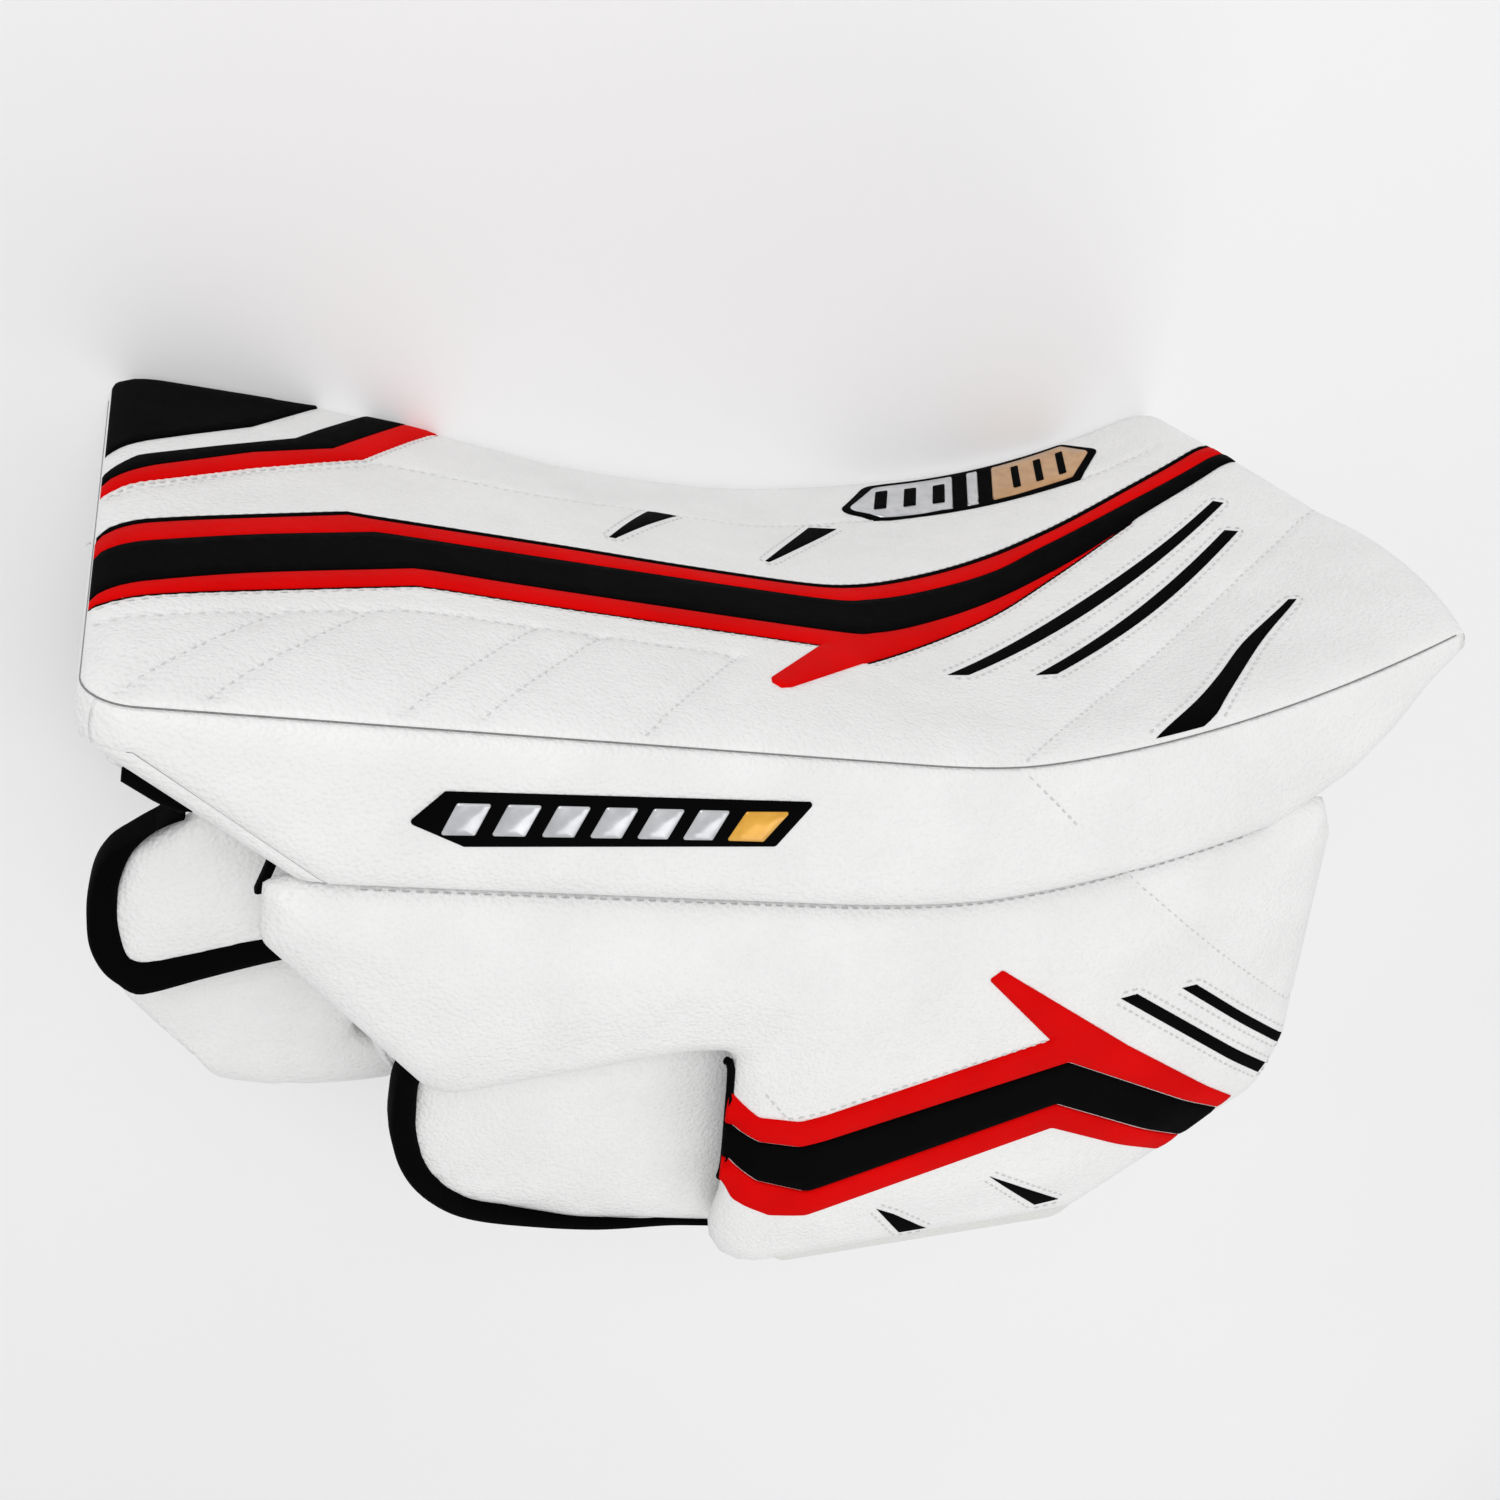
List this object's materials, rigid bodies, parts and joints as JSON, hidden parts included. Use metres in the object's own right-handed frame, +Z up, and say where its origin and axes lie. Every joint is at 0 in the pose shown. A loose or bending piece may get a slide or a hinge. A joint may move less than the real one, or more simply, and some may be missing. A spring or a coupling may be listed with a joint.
{
  "type": "goalie blocker",
  "caption": "Ice hockey goalie blocker: a curved padded board with a side protector, thumb shield, padded cuff with wrist strap, and a glove behind it.",
  "frame": {"origin": "on the ground under the middle of the bounding box, with the blocker lying on its little-finger edge", "axes": "+X along the board from the cuff to the finger end, +Y the way the strike face points, +Z up, from the little-finger edge to the thumb edge"},
  "size_m": [0.3843, 0.2676, 0.2043],
  "materials": {
    "white_leather": "white synthetic leather with a fine pebbled grain, satin",
    "black_leather": "black synthetic leather, satin",
    "red_leather": "red synthetic leather, satin",
    "bronze_film": "bronze and silver printed film, gloss",
    "foam": "closed-cell foam covered in fine fabric",
    "insert_plastic": "polyethylene sheet, matte",
    "grey_nylon": "woven nylon, matte",
    "palm_leather": "soft synthetic suede, matte",
    "glove_leather": "soft dark synthetic leather",
    "hook_and_loop": "hook and loop tape",
    "lace": "braided nylon lace",
    "eyelet": "nickel plated steel"
  },
  "bodies": {
    "board": {"strike_face": "white_leather", "face_foam": "foam", "board_stiffener": "insert_plastic", "board_core": "foam", "radial_gusset": "white_leather", "ulnar_gusset": "white_leather", "cuff_end_gusset": "white_leather", "finger_end_gusset": "white_leather", "back_panel": "grey_nylon", "corner_patch": "black_leather", "corner_band_black": "black_leather", "corner_band_red": "red_leather", "main_stripe_black": "black_leather", "main_stripe_red": "red_leather", "face_accents": "black_leather", "face_emblem": "bronze_film", "gusset_badge": "black_leather", "side_protector_shell": "white_leather", "side_protector_insert": "insert_plastic", "side_protector_padding": "foam", "protector_stripe_black": "black_leather", "protector_stripe_red": "red_leather", "protector_accents": "black_leather", "protector_notch_binding": "black_leather", "protector_lace": "lace", "lace_eyelets": "eyelet", "cuff_liner": "white_leather", "cuff_liner_binding": "black_leather", "cuff_ulnar_wing": "white_leather", "cuff_ulnar_binding": "black_leather", "cuff_palm_pad": "white_leather", "strap_anchor": "white_leather", "strap_loop_patch": "hook_and_loop", "glove_hook_patch": "hook_and_loop", "glove_back_pad": "grey_nylon", "glove_palm": "palm_leather", "palm_patch": "palm_leather", "glove_ulnar_side": "grey_nylon", "glove_radial_side": "grey_nylon", "thumb_root": "glove_leather"},
    "cuff_wing": {"cuff_radial_wing": "white_leather", "cuff_radial_binding": "black_leather"},
    "wrist_strap": {"wrist_strap": "white_leather", "strap_hook_patch": "hook_and_loop", "strap_pull_tab": "black_leather"},
    "thumb_base": {"thumb_base": "glove_leather", "thumb_shield_pad": "white_leather", "thumb_shield_binding": "black_leather"},
    "thumb_tip": {"thumb_tip": "glove_leather"},
    "little_base": {"little_base": "glove_leather"},
    "little_tip": {"little_tip": "glove_leather"},
    "ring_base": {"ring_base": "glove_leather"},
    "ring_tip": {"ring_tip": "glove_leather"},
    "middle_base": {"middle_base": "glove_leather"},
    "middle_tip": {"middle_tip": "glove_leather"},
    "index_base": {"index_base": "glove_leather"},
    "index_tip": {"index_tip": "glove_leather"}
  },
  "joints": [
    {"name": "little_curl", "type": "hinge", "parent": "board", "child": "little_base", "pos_m": [0.0156, -0.0173, 0.0675], "axis": [0, 0, -1], "range_deg": [-18, 30], "stiffness_Nm_per_rad": 0.15},
    {"name": "little_tip_curl", "type": "hinge", "parent": "little_base", "child": "little_tip", "pos_m": [0.0636, -0.0173, 0.0675], "axis": [0, 0, -1], "range_deg": [-27, 45], "stiffness_Nm_per_rad": 0.1},
    {"name": "ring_curl", "type": "hinge", "parent": "board", "child": "ring_base", "pos_m": [0.0156, -0.0173, 0.0915], "axis": [0, 0, -1], "range_deg": [-18, 30], "stiffness_Nm_per_rad": 0.15},
    {"name": "ring_tip_curl", "type": "hinge", "parent": "ring_base", "child": "ring_tip", "pos_m": [0.0636, -0.0173, 0.0915], "axis": [0, 0, -1], "range_deg": [-27, 45], "stiffness_Nm_per_rad": 0.1},
    {"name": "middle_curl", "type": "hinge", "parent": "board", "child": "middle_base", "pos_m": [0.0156, -0.0173, 0.1155], "axis": [0, 0, -1], "range_deg": [-18, 30], "stiffness_Nm_per_rad": 0.15},
    {"name": "middle_tip_curl", "type": "hinge", "parent": "middle_base", "child": "middle_tip", "pos_m": [0.0636, -0.0173, 0.1155], "axis": [0, 0, -1], "range_deg": [-27, 45], "stiffness_Nm_per_rad": 0.1},
    {"name": "index_curl", "type": "hinge", "parent": "board", "child": "index_base", "pos_m": [0.0156, -0.0173, 0.1395], "axis": [0, 0, -1], "range_deg": [-18, 30], "stiffness_Nm_per_rad": 0.15},
    {"name": "index_tip_curl", "type": "hinge", "parent": "index_base", "child": "index_tip", "pos_m": [0.0636, -0.0173, 0.1395], "axis": [0, 0, -1], "range_deg": [-27, 45], "stiffness_Nm_per_rad": 0.1},
    {"name": "thumb_curl", "type": "hinge", "parent": "board", "child": "thumb_base", "pos_m": [-0.0884, -0.0693, 0.16], "axis": [0, 0, -1], "range_deg": [-8, 14], "stiffness_Nm_per_rad": 0.6},
    {"name": "thumb_tip_curl", "type": "hinge", "parent": "thumb_base", "child": "thumb_tip", "pos_m": [-0.0424, -0.0693, 0.16], "axis": [0, 0, -1], "range_deg": [-8, 14], "stiffness_Nm_per_rad": 0.1},
    {"name": "cuff_wing_flex", "type": "hinge", "parent": "board", "child": "cuff_wing", "pos_m": [-0.1584, 0.0237, 0.161], "axis": [-1, 0, 0], "range_deg": [0, 18], "stiffness_Nm_per_rad": 0.4, "springref_deg": -5.73},
    {"name": "wrist_strap_peel", "type": "hinge", "parent": "board", "child": "wrist_strap", "pos_m": [-0.1304, -0.0858, 0.024], "axis": [1, 0, 0], "range_deg": [0, 100]}
  ],
  "couplings": [
    {"joint": "little_tip_curl", "follows": "little_curl", "ratio": 1.5},
    {"joint": "ring_tip_curl", "follows": "ring_curl", "ratio": 1.5},
    {"joint": "middle_tip_curl", "follows": "middle_curl", "ratio": 1.5},
    {"joint": "index_tip_curl", "follows": "index_curl", "ratio": 1.5},
    {"joint": "thumb_tip_curl", "follows": "thumb_curl", "ratio": 1}
  ]
}
